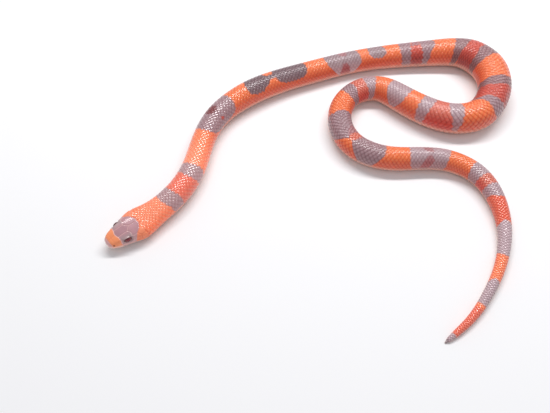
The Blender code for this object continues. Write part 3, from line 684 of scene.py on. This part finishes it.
# Horn: its noises' scales per metre and detail, how much the specks count beside the clouds, how
# much duller a cloud makes it, the height of its grain in metres, and how smoothly it reflects
CLOUDS, SPECKS, SPECK_SHARE = (700, 3), (9000, 2), 0.35
CLOUD_DULLS, GRAIN_HEIGHT = 0.16, 0.00003
HORN_SPECULAR, HORN_COAT_ROUGHNESS = 0.25, 0.07


def shader_node(tree, kind, inputs, operation=None):
    """Outputs of a new shader node, with its operation set if it has one, and each input that is
    named or numbered either linked from an output or given a value."""
    node = tree.nodes.new("ShaderNode" + kind)
    if operation:
        node.operation = operation
    for key, value in inputs.items():
        if isinstance(value, bpy.types.NodeSocket):
            tree.links.new(value, node.inputs[key])
        else:
            node.inputs[key].default_value = value
    return node.outputs


def horn_group():
    """Shader group for horny skin: pigment with a soft mottle and fine specks, a roughness
    that varies a little, and a very fine grain as a normal."""
    group = bpy.data.node_groups.new("horn", "ShaderNodeTree")
    face = group.interface
    for name, kind, value in (("Pigment", "NodeSocketColor", (0.8, 0.4, 0.2, 1.0)),
                              ("Place", "NodeSocketVector", (0, 0, 0)),
                              ("Mottle", "NodeSocketFloat", 0.12),
                              ("Gloss", "NodeSocketFloat", 0.3),
                              ("Grain", "NodeSocketFloat", 0.1)):
        face.new_socket(name, in_out="INPUT", socket_type=kind).default_value = value
    for name, kind in (("Colour", "NodeSocketColor"), ("Roughness", "NodeSocketFloat"),
                       ("Normal", "NodeSocketVector")):
        face.new_socket(name, in_out="OUTPUT", socket_type=kind)
    source = group.nodes.new("NodeGroupInput").outputs
    sink = group.nodes.new("NodeGroupOutput").inputs
    clouds, specks = [
        shader_node(group, "TexNoise", {"Vector": source["Place"], "Scale": scale,
                                        "Detail": detail})["Fac"]
        for scale, detail in (CLOUDS, SPECKS)]
    both = shader_node(group, "Math", {0: specks, 1: SPECK_SHARE, 2: clouds}, "MULTIPLY_ADD")
    centred = shader_node(group, "Math", {0: both[0], 1: (1 + SPECK_SHARE) / 2}, "SUBTRACT")
    scaled = shader_node(group, "Math", {0: centred[0], 1: source["Mottle"], 2: 1.0}, "MULTIPLY_ADD")
    tint = shader_node(group, "VectorMath", {0: source["Pigment"], "Scale": scaled[0]}, "SCALE")
    dull = shader_node(group, "Math", {0: clouds, 1: CLOUD_DULLS, 2: source["Gloss"]}, "MULTIPLY_ADD")
    bump = shader_node(group, "Bump", {"Distance": GRAIN_HEIGHT, "Strength": source["Grain"],
                                       "Height": specks})
    for name, output in (("Colour", tint[0]), ("Roughness", dull[0]), ("Normal", bump["Normal"])):
        group.links.new(output, sink[name])
    return group


horn = horn_group()


def painted(name, specular, coat, coat_roughness):
    """New Principled material with its specular level and clear coat set, its tree and shader,
    and the outputs that give a point's pigment and its place on the object."""
    made = bpy.data.materials.new(name)
    made.use_nodes = True
    tree = made.node_tree
    shader = tree.nodes["Principled BSDF"]
    shader.inputs["Specular IOR Level"].default_value = specular
    shader.inputs["Coat Weight"].default_value = coat
    shader.inputs["Coat Roughness"].default_value = coat_roughness
    pigment = tree.nodes.new("ShaderNodeAttribute")
    pigment.attribute_name = "pigment"
    where = tree.nodes.new("ShaderNodeTexCoord")
    return made, tree, shader, pigment.outputs["Color"], where.outputs["Object"]


def horn_finish(name, mottle, gloss, grain, coat):
    """Principled material over the horn group, with a clear coat of a given weight."""
    made, tree, shader, pigment, where = painted(name, HORN_SPECULAR, coat, HORN_COAT_ROUGHNESS)
    group = tree.nodes.new("ShaderNodeGroup")
    group.node_tree = horn
    for key, value in (("Mottle", mottle), ("Gloss", gloss), ("Grain", grain)):
        group.inputs[key].default_value = value
    tree.links.new(pigment, group.inputs["Pigment"])
    tree.links.new(where, group.inputs["Place"])
    for output, key in (("Colour", "Base Color"), ("Roughness", "Roughness"), ("Normal", "Normal")):
        tree.links.new(group.outputs[output], shader.inputs[key])
    return made


def head_stations():
    """Stations of the head's rings: closer at the snout, by the list of steps."""
    at, steps = np.array(HEAD_RING_STEPS).T
    stations = [0.0]
    while stations[-1] < HEAD_GRID_END:
        stations.append(stations[-1] + float(np.interp(stations[-1], at, steps)))
    stations[-1] = HEAD_GRID_END
    return np.array(stations)


def column_angles(count):
    """Angles round a ring from -180 on, closer together over the back: an even turn with a
    sine wave added."""
    even = np.arange(count + 1) / count * 2 - 1
    return 180 * (even - TOP_CROWDING * np.sin(np.pi * even))


def skin_piece():
    """The whole skin: the head's fine grid, the body's coarse grid on every fifth column, a
    row of triangles between them, and a fan over each end."""
    fine_stations, fine_angles = head_stations(), column_angles(HEAD_COLUMNS)
    ratio = HEAD_COLUMNS // BODY_COLUMNS
    coarse_angles = fine_angles[::ratio]
    count = int((TIP_STATION - HEAD_GRID_END) / BODY_RING_STEP)
    coarse_stations = np.linspace(HEAD_GRID_END, TIP_STATION, count + 1)[1:]
    station, angle = [g.ravel() for g in np.meshgrid(fine_stations, fine_angles[:-1], indexing="ij")]
    head_points, *gaps = head_surface(station, angle)
    head_colours = head_colour(station, angle, *gaps)
    body_station, body_angle = [g.ravel() for g in
                                np.meshgrid(coarse_stations, coarse_angles[:-1], indexing="ij")]
    body_points = place(body_station, body_angle, -coat_depth(body_station))
    body_colours = markings(body_station, body_angle) * UNDER_SHADE
    head_colours = head_colours * (1 - (1 - UNDER_SHADE) * ramp(station, *UNDER_BEGINS)[:, None])
    ends = place([0.0, SNAKE_LENGTH], 0.0)
    points = np.concatenate([head_points, body_points, ends])
    colours = np.concatenate([head_colours, body_colours, head_colours[:1], body_colours[-1:]])
    faces, uvs = [], []

    def grid(first, stations, angles):
        """Adds the quads between rings whose points are numbered from the first one on. Each
        quad lies on one strip of the flat map."""
        columns = len(angles) - 1
        ring, side = np.meshgrid(np.arange(len(stations) - 1), np.arange(columns), indexing="ij")
        ring = ring.reshape(-1, 1) + np.array([0, 0, 1, 1])
        side = side.reshape(-1, 1) + np.array([0, 1, 1, 0])
        faces.append(first + ring * columns + side % columns)
        uvs.append(unwrap(stations[ring], angles[side], strip_of(stations[ring[:, :1]])))

    def triangles(corners, runs, turns, strip):
        """Adds a row of triangles, each argument giving a value or a row for each corner."""
        faces.append(np.stack(np.broadcast_arrays(*corners), axis=1))
        turns = np.stack(turns, axis=1)
        uvs.append(unwrap(np.broadcast_to(runs, turns.shape), turns, strip))

    head_count = len(head_points)
    grid(0, fine_stations, fine_angles)
    grid(head_count, coarse_stations, coarse_angles)
    side = np.arange(BODY_COLUMNS)
    last_ring = head_count - HEAD_COLUMNS
    here, there = HEAD_GRID_END, coarse_stations[0]
    for k in range(ratio):
        near = side + (k > ratio // 2)
        far = side * ratio + k
        triangles((last_ring + far, last_ring + (far + 1) % HEAD_COLUMNS,
                   head_count + near % BODY_COLUMNS), (here, here, there),
                  (fine_angles[far], fine_angles[far + 1], coarse_angles[near]), 1)
    middle = side * ratio + ratio // 2 + 1
    triangles((last_ring + middle, head_count + (side + 1) % BODY_COLUMNS, head_count + side),
              (here, there, there),
              (fine_angles[middle], coarse_angles[side + 1], coarse_angles[side]), 1)
    last_ring = len(points) - 2 - BODY_COLUMNS
    triangles((len(points) - 1, last_ring + side, last_ring + (side + 1) % BODY_COLUMNS),
              TIP_STATION,
              (coarse_angles[side], coarse_angles[side], coarse_angles[side + 1]), STRIPS - 1)
    side = np.arange(HEAD_COLUMNS)
    triangles((len(points) - 2, (side + 1) % HEAD_COLUMNS, side), 0.0,
              (fine_angles[side], fine_angles[side + 1], fine_angles[side]), 0)
    finish = horn_finish("bare_skin", mottle=0.18, gloss=0.24, grain=0.25, coat=0.4)
    return make_piece("skin", points, faces, colours, uvs, finish)


skin = skin_piece()
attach(skin, "root")
flesh = [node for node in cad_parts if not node.startswith("eye")]
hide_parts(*flesh)

# Scales of the back and flanks. Smooth rhombic plates of horn grow from the skin in slanting
# rows and overlap towards the tail. Each is one small closed lens with its root on the skin and
# its tip at the top of the coat, set ring by ring, every second ring half a scale further round.
SCALE_PITCH = [
    (7, 1.0), (14, 1.15), (24, 1.36), (34, 1.55), (50, 1.78), (62, 1.72), (80, 1.48),
    (110, 1.4), (150, 1.42), (184, 1.58), (205, 1.42), (256, 1.27), (276, 1.45), (298, 1.24),
    (330, 1.15), (352, 1.0), (370, 0.92), (390, 0.8), (398, 0.7),
]
SCALE_ROWS = [
    (7, 21), (250, 21), (300, 19), (338, 17), (348, 14), (362, 10), (380, 8), (392, 6),
    (398, 4),
]
DORSAL_ARC = 124.0
SCALES_START, SCALES_END = 10.6, 397.0
SCALE_MARGIN = 0.3
SCALE_LENGTH, SCALE_SHIFT, SCALE_WIDTH = 0.66, -0.12, 0.495
SCALE_POINTS, SCALE_POWER = 12, 1.35
SCALE_RINGS = [0.5, 0.88]
SCALE_CROWN, SCALE_EDGE, SCALE_ROOT = 0.55, 0.36, 0.08
EDGE_FOLLOW = 0.55
SCALE_TINT = 0.05
SCALE_PIECES = 3
# Each scale is lifted by a painted highlight that stands for its glint, its rim colour deepens by a
# power, and its root, which lies under the scales in front, is darkened as painted shade
SCALE_HIGHLIGHT, EDGE_DEPTH, ROOT_PAINTED_SHADE = 1.16, 0.6, 0.14
RING_STEPS = 4000
# Half size of a scale's patch on the flat map
PATCH = 0.0015


def scale_template():
    """Outline and heights of one scale. The outline is |a|^n + |b|^n = 1, rounder than a
    rhombus; its points are a to the tail and b across, from -1 to 1. The top has a middle, two
    rings and a thin edge, and the bottom is a fan from a middle point."""
    turn = np.arange(SCALE_POINTS) / SCALE_POINTS * 2 * np.pi
    size = (np.abs(np.cos(turn)) ** SCALE_POWER + np.abs(np.sin(turn)) ** SCALE_POWER)
    outline = np.stack([np.cos(turn), np.sin(turn)], axis=1) * size[:, None] ** (-1 / SCALE_POWER)
    rings = [outline * share for share in SCALE_RINGS + [1.0]]
    spots = np.concatenate([[[0, 0]], *rings, [[0, 0]]])
    radius = np.concatenate([[0], np.repeat(SCALE_RINGS + [1.0], SCALE_POINTS), [0]])
    under = np.zeros(len(spots), bool)
    under[-SCALE_POINTS - 1:] = True
    around = np.arange(SCALE_POINTS)
    following = (around + 1) % SCALE_POINTS
    faces = [np.stack([np.zeros_like(around), 1 + following, 1 + around], axis=1)]
    for ring in range(len(SCALE_RINGS)):
        a, b = 1 + ring * SCALE_POINTS + around, 1 + ring * SCALE_POINTS + following
        faces.append(np.stack([a, b, b + SCALE_POINTS], axis=1))
        faces.append(np.stack([a, b + SCALE_POINTS, a + SCALE_POINTS], axis=1))
    edge = 1 + len(SCALE_RINGS) * SCALE_POINTS
    faces.append(np.stack([np.full_like(around, len(spots) - 1), edge + around,
                           edge + following], axis=1))
    return spots, radius, under, np.concatenate(faces)


def plates(name, station, angle, pitch, spread, template, finish, tint):
    """Piece of many plates, one for each station and angle, each a copy of the template that
    is as long as its pitch and as wide as its spread asks. Height over the skin, as a share of
    the coat: it climbs from the root to the tip, is crowned across, and is less underneath."""
    spots, radius, under, faces = template
    along = (spots[:, 0] * SCALE_LENGTH + SCALE_SHIFT)[None] * pitch[:, None]
    across = spots[:, 1][None] * spread[:, None]
    share = SCALE_ROOT + (1 - SCALE_ROOT) * (spots[:, 0] + 1) / 2
    share = share + SCALE_CROWN * (1 - radius ** 2) - SCALE_EDGE * under
    at = np.minimum(station[:, None] + along, SNAKE_LENGTH)
    turn = angle[:, None] + across
    out = (share[None] - 1) * coat_depth(at)
    points = place(at, turn, out).reshape(-1, 3)
    # Painted highlight over the whole scale, less painted shade towards its root, under the scales in
    # front
    shade = SCALE_HIGHLIGHT * (1 - ROOT_PAINTED_SHADE * np.clip(-spots[:, 0], 0, 1))
    base = markings(station[:, None] + EDGE_FOLLOW * along, angle[:, None] + EDGE_FOLLOW * across)
    deep = base ** (1 + EDGE_DEPTH * radius ** 2)[None, :, None]
    colours = (deep * (tint[:, None] * shade[None])[..., None]).reshape(-1, 3)
    middle = unwrap(station, angle)
    flat = middle[:, None, :] + spots[None] * PATCH
    offset = np.arange(len(station)) * len(spots)
    corners = (faces[None] + offset[:, None, None]).reshape(-1, 3)
    uvs = flat[:, faces, :].reshape(-1, 3, 2)
    piece = make_piece(name, points, [corners], colours, [uvs], finish)
    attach(piece, "root")


def ring_stations(start, end, per_pitch):
    """Stations of rings, so many to each pitch, with the pitch changing along the body."""
    at = np.linspace(start, end, RING_STEPS)
    count = np.concatenate([[0], np.cumsum(per_pitch / through(at, SCALE_PITCH)[:-1] * np.diff(at))])
    return np.interp(np.arange(int(count[-1]) + 1), count, at)


def scale_places(start, end, rows, arc, middle):
    """Station, angle, pitch and half width in degrees of the scales on both sides of a middle
    angle, out to an arc. A ring has the number of scales nearest to half the rows that is even
    on even rings and odd on odd ones."""
    rings = ring_stations(start, end, 2)
    rows = through(rings, rows) / 2
    step = 2 * arc / rows
    odd = np.arange(len(rings)) % 2
    number = (2 * np.round((rows - odd) / 2) + odd).astype(int)
    ring = np.repeat(np.arange(len(rings)), number)
    order = np.arange(len(ring)) - (np.cumsum(number) - number)[ring]
    station = rings[ring]
    angle = middle + (order - (number[ring] - 1) / 2) * step[ring]
    pitch = through(station, SCALE_PITCH)
    low = np.abs((angle + 180) % 360 - 180)
    behind = station - through(low, SHIELDS_END) > SCALE_MARGIN * pitch
    return [values[behind] for values in (station, angle, pitch, SCALE_WIDTH * step[ring])]


draws = np.random.default_rng(7)
scale_finish = horn_finish("scale_horn", mottle=0.16, gloss=0.34, grain=0.12, coat=0.9)
dorsal = scale_places(SCALES_START, SCALES_END, SCALE_ROWS, DORSAL_ARC, 0)
dorsal_tint = 1 + draws.uniform(-SCALE_TINT, SCALE_TINT, len(dorsal[0]))
template = scale_template()
for number, chosen in enumerate(np.array_split(np.arange(len(dorsal[0])), SCALE_PIECES)):
    parts = [values[chosen] for values in dorsal]
    plates(f"scales_{number + 1}", *parts, template, scale_finish, dorsal_tint[chosen])

# Belly plates. Under the body each ring has one wide plate from flank to flank, overlapping the
# next towards the tail, and under the tail a pair. They are thin horn like the scales, made as
# closed strips of a grid, with small scales on the throat in front of the first.
VENT = 343.0
BELLY_START, BELLY_END = 13.4, 396.0
BELLY_SPREAD = 59.0
PAIR_AFTER, PAIR_SPREAD, PAIR_OFFSET = 1.0, 31.0, 29.0
BELLY_ACROSS, BELLY_TINT = 16, 0.03
# Shape of a plate: its rows of points, how much its rear corners are rounded, and by which power
PLATE_ROWS, PLATE_REAR = [-1.0, -0.3, 0.72, 1.0], 0.35
BELLY_POWER, PAIR_POWER = 6, 4
# The throat's scales begin in front of the first belly plate, run on a little way under it, and
# reach a little into the arc of the back's scales
THROAT_START, THROAT_OVERLAP, THROAT_SPARE = 7.0, 0.4, 8
THROAT_ROWS = [(0, 11), (20, 11)]


def strip_template(columns, power):
    """A plate as a grid: rows at the root, before the middle, near the tip and at the tip, with
    rounded rear corners |b|^n, and a bottom grid that shares its border."""
    b = np.linspace(-1, 1, columns + 1)
    a_grid, b_grid = np.meshgrid(PLATE_ROWS, b, indexing="ij")
    a_grid = np.where(a_grid > 0, a_grid * (1 - PLATE_REAR * np.abs(b_grid) ** power), a_grid)
    top = np.stack([a_grid.ravel(), b_grid.ravel()], axis=1)
    border = np.zeros(a_grid.shape, bool)
    border[[0, -1]] = True
    border[:, [0, -1]] = True
    index = np.arange(a_grid.size).reshape(a_grid.shape)
    inner = ~border
    below = index.copy()
    below[inner] = a_grid.size + np.arange(inner.sum())
    spots = np.concatenate([top, top[inner.ravel()]])
    under = np.concatenate([border.ravel(), np.ones(inner.sum(), bool)])
    radius = np.concatenate([border.ravel() * 1.0, np.zeros(inner.sum())])
    faces = []
    for grid, flip in ((index, 1), (below, -1)):
        quads = np.stack([grid[:-1, :-1], grid[:-1, 1:], grid[1:, 1:], grid[1:, :-1]], axis=-1)
        quads = quads.reshape(-1, 4)[:, ::flip]
        faces += [quads[:, [0, 1, 2]], quads[:, [0, 2, 3]]]
    return spots, radius, under, np.concatenate(faces)


belly_finish = horn_finish("belly_horn", mottle=0.12, gloss=0.24, grain=0.12, coat=0.35)
belly_rings = ring_stations(BELLY_START, VENT, 1)
pair_rings = ring_stations(VENT + PAIR_AFTER, BELLY_END, 2)
pair_side = np.where(np.arange(len(pair_rings)) % 2, 1.0, -1.0)
for name, rings, offset, spread, shape in (
        ("belly_plates", belly_rings, 0, BELLY_SPREAD, (BELLY_ACROSS, BELLY_POWER)),
        ("tail_plates", pair_rings, pair_side * PAIR_OFFSET, PAIR_SPREAD,
         (BELLY_ACROSS // 2, PAIR_POWER))):
    ones = np.ones_like(rings)
    plates(name, rings, 180 * ones + offset, through(rings, SCALE_PITCH), spread * ones,
           strip_template(*shape), belly_finish,
           1 + draws.uniform(-BELLY_TINT, BELLY_TINT, len(rings)))
throat = scale_places(THROAT_START, BELLY_START + THROAT_OVERLAP, THROAT_ROWS,
                      180 - DORSAL_ARC + THROAT_SPARE, 180)
plates("throat_scales", *throat, template, belly_finish, np.ones(len(throat[0])))

# Eyes. Each is a shallow glossy dome under a clear fixed scale, dark maroon with a round pupil
# that shows red deep inside. It is a flattened ball that stands where the solid one is.
EYE_RINGS, EYE_SECTORS = 40, 64
PUPIL, PUPIL_BLUR = 0.5, 0.05
PUPIL_COLOUR, PUPIL_GLOW = linear(72, 12, 22), linear(158, 30, 58)
IRIS_COLOUR, IRIS_EDGE_AND_SHADE = linear(132, 54, 58), linear(64, 24, 30)
# Where the iris darkens: to its edge, and upwards, as painted shade under the brow, by a share
EDGE_DARK, EYE_BROW_SHADE, EYE_BROW_SHADE_SHARE = (0.8, 1.15), (0.2, 0.7), 0.6
GLOW_SIZE, GLOW_SHARE = 0.8, 0.8
EYE_PATCH = 0.45
# The iris's fibres: their scale per metre, and the colour's share and roughness between them
FIBRE_SCALE, FIBRE_DEPTH, FIBRE_GLOSS = 5000, (0.75, 1.25), (0.06, 0.12)
EYE_SPECULAR, EYE_COAT, EYE_COAT_ROUGHNESS = 0.1, 0.8, 0.03


def eye_finish():
    """Wet, very smooth dome over the painted iris, whose fibres change its depth and gloss."""
    made, tree, shader, pigment, where = painted("wet_eye", EYE_SPECULAR, EYE_COAT,
                                                 EYE_COAT_ROUGHNESS)
    fibres = shader_node(tree, "TexNoise", {"Scale": FIBRE_SCALE, "Vector": where})["Fac"]
    depth, gloss = [
        shader_node(tree, "MapRange", {"To Min": low, "To Max": high, "Value": fibres})[0]
        for low, high in (FIBRE_DEPTH, FIBRE_GLOSS)]
    tint = shader_node(tree, "VectorMath", {0: pigment, "Scale": depth}, "SCALE")[0]
    tree.links.new(tint, shader.inputs["Base Color"])
    tree.links.new(gloss, shader.inputs["Roughness"])
    return made


wet_eye = eye_finish()


def eye_piece(name, side):
    """Ellipsoid about the eye's axis: its half sizes times the sine and cosine of the angle
    from the axis; its colour depends on the distance from the axis, with painted shade towards the brow."""
    middle, (long, tall, deep), (forward, up, axis) = eye_frame(side)
    polar = np.linspace(0, np.pi, EYE_RINGS + 1)[1:-1]
    turn = np.arange(EYE_SECTORS) / EYE_SECTORS * 2 * np.pi
    polar, turn = [g.ravel() for g in np.meshgrid(polar, turn, indexing="ij")]
    polar = np.concatenate([polar, [0, np.pi]])
    turn = np.concatenate([turn, [0, 0]])
    along, above = long * np.sin(polar) * np.cos(turn), tall * np.sin(polar) * np.sin(turn)
    height = deep * np.cos(polar)
    points = middle + (along[:, None] * forward + above[:, None] * up + height[:, None] * axis) * MM
    rows, columns = EYE_RINGS - 1, EYE_SECTORS
    index = np.arange(rows * columns).reshape(rows, columns)
    quads = np.stack([index[:-1], index[1:], np.roll(index[1:], -1, axis=1),
                      np.roll(index[:-1], -1, axis=1)], axis=-1).reshape(-1, 4)
    front = np.stack([np.full(columns, rows * columns), index[0], np.roll(index[0], -1)], axis=1)
    back = np.stack([np.full(columns, rows * columns + 1), np.roll(index[-1], -1), index[-1]], axis=1)
    faces = [quads, np.concatenate([front, back])]
    if np.cross(forward, up) @ axis < 0:
        faces = [group[:, ::-1] for group in faces]
    out = np.where(height > 0, np.hypot(along, above), long)
    colours = np.ones((len(points), 3)) * IRIS_COLOUR
    # The iris deepens to its edge and, as painted shade, towards the brow
    dark = ramp(out, *EDGE_DARK) + EYE_BROW_SHADE_SHARE * ramp(above, *EYE_BROW_SHADE)
    colours = mix(colours, IRIS_EDGE_AND_SHADE, dark)
    colours = mix(colours, PUPIL_COLOUR, 1 - ramp(out, PUPIL - PUPIL_BLUR, PUPIL + PUPIL_BLUR))
    colours = mix(colours, PUPIL_GLOW, GLOW_SHARE * bell(out, PUPIL * GLOW_SIZE))
    spread = EYE_PATCH * np.where(height > 0, np.sin(polar), 2 - np.sin(polar)) / 2
    flat = np.stack([0.5 + spread * np.cos(turn), 0.5 + spread * np.sin(turn)], axis=-1)
    return make_piece(name, points, faces, colours, [flat[group] for group in faces], wet_eye)


for name, node, side in (("eyeball_left", "eye_left", 1), ("eyeball_right", "eye_right", -1)):
    eyeball = eye_piece(name, side)
    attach(eyeball, "root")
    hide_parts(node)

# Floor. A plain pale sheet under the snake, matt like painted board. It is one square face, wide
# enough to fill the picture that the camera takes.
FLOOR_HALF, FLOOR_COLOUR = 1.5, (0.93, 0.92, 0.92, 1.0)
floor_mesh = bpy.data.meshes.new("floor")
floor_mesh.from_pydata([(-FLOOR_HALF, -FLOOR_HALF, 0), (FLOOR_HALF, -FLOOR_HALF, 0),
                        (FLOOR_HALF, FLOOR_HALF, 0), (-FLOOR_HALF, FLOOR_HALF, 0)],
                       [], [(0, 1, 2, 3)])
floor = new_object("floor", floor_mesh)
floor_finish = bpy.data.materials.new("pale_floor")
floor_finish.use_nodes = True
floor_shader = floor_finish.node_tree.nodes["Principled BSDF"]
floor_shader.inputs["Base Color"].default_value = FLOOR_COLOUR
floor_shader.inputs["Roughness"].default_value = 0.9
floor_shader.inputs["Specular IOR Level"].default_value = 0.2
floor_mesh.materials.append(floor_finish)

# Light. A long lamp like a tube, high behind the loops and a little to the right, gives a glint
# to every scale whose face turns to it and the soft shadow in front. A pale sky fills the rest.
LAMP_PLACE = (0.06, 0.2, 0.39)
LAMP_LONG, LAMP_WIDE, LAMP_WATTS = 0.5, 0.055, 1.7
SKY = (0.93, 0.95, 1.0, 1.0)
SKY_STRENGTH = 0.52
light = bpy.data.lights.new("tube", "AREA")
light.shape = "RECTANGLE"
light.size = LAMP_LONG
light.size_y = LAMP_WIDE
light.energy = LAMP_WATTS
lamp = new_object("tube", light)
lamp.location = LAMP_PLACE
lamp.rotation_euler = (-np.arctan2(LAMP_PLACE[1], LAMP_PLACE[2]), 0, 0)
world = bpy.data.worlds.new("sky")
world.use_nodes = True
world.node_tree.nodes["Background"].inputs["Color"].default_value = SKY
world.node_tree.nodes["Background"].inputs["Strength"].default_value = SKY_STRENGTH
bpy.context.scene.world = world
bpy.context.scene.view_settings.view_transform = "Standard"

# Camera. It looks down on the loops from the front, at 51 degrees under the level, with the
# angle of view that fits the loops' shape.
CAMERA_PLACE = (-0.01775, -0.14425, 0.159585)
CAMERA_PITCH = 39
FOCAL_PIXELS, FRAME_PIXELS, SENSOR, NEAREST = 640, 550, 36, 0.005
camera_data = bpy.data.cameras.new("camera")
camera_data.sensor_width = SENSOR
camera_data.lens = FOCAL_PIXELS * SENSOR / FRAME_PIXELS
camera_data.clip_start = NEAREST
camera = new_object("camera", camera_data)
camera.location = CAMERA_PLACE
camera.rotation_euler = (np.radians(CAMERA_PITCH), 0, 0)
bpy.context.scene.camera = camera
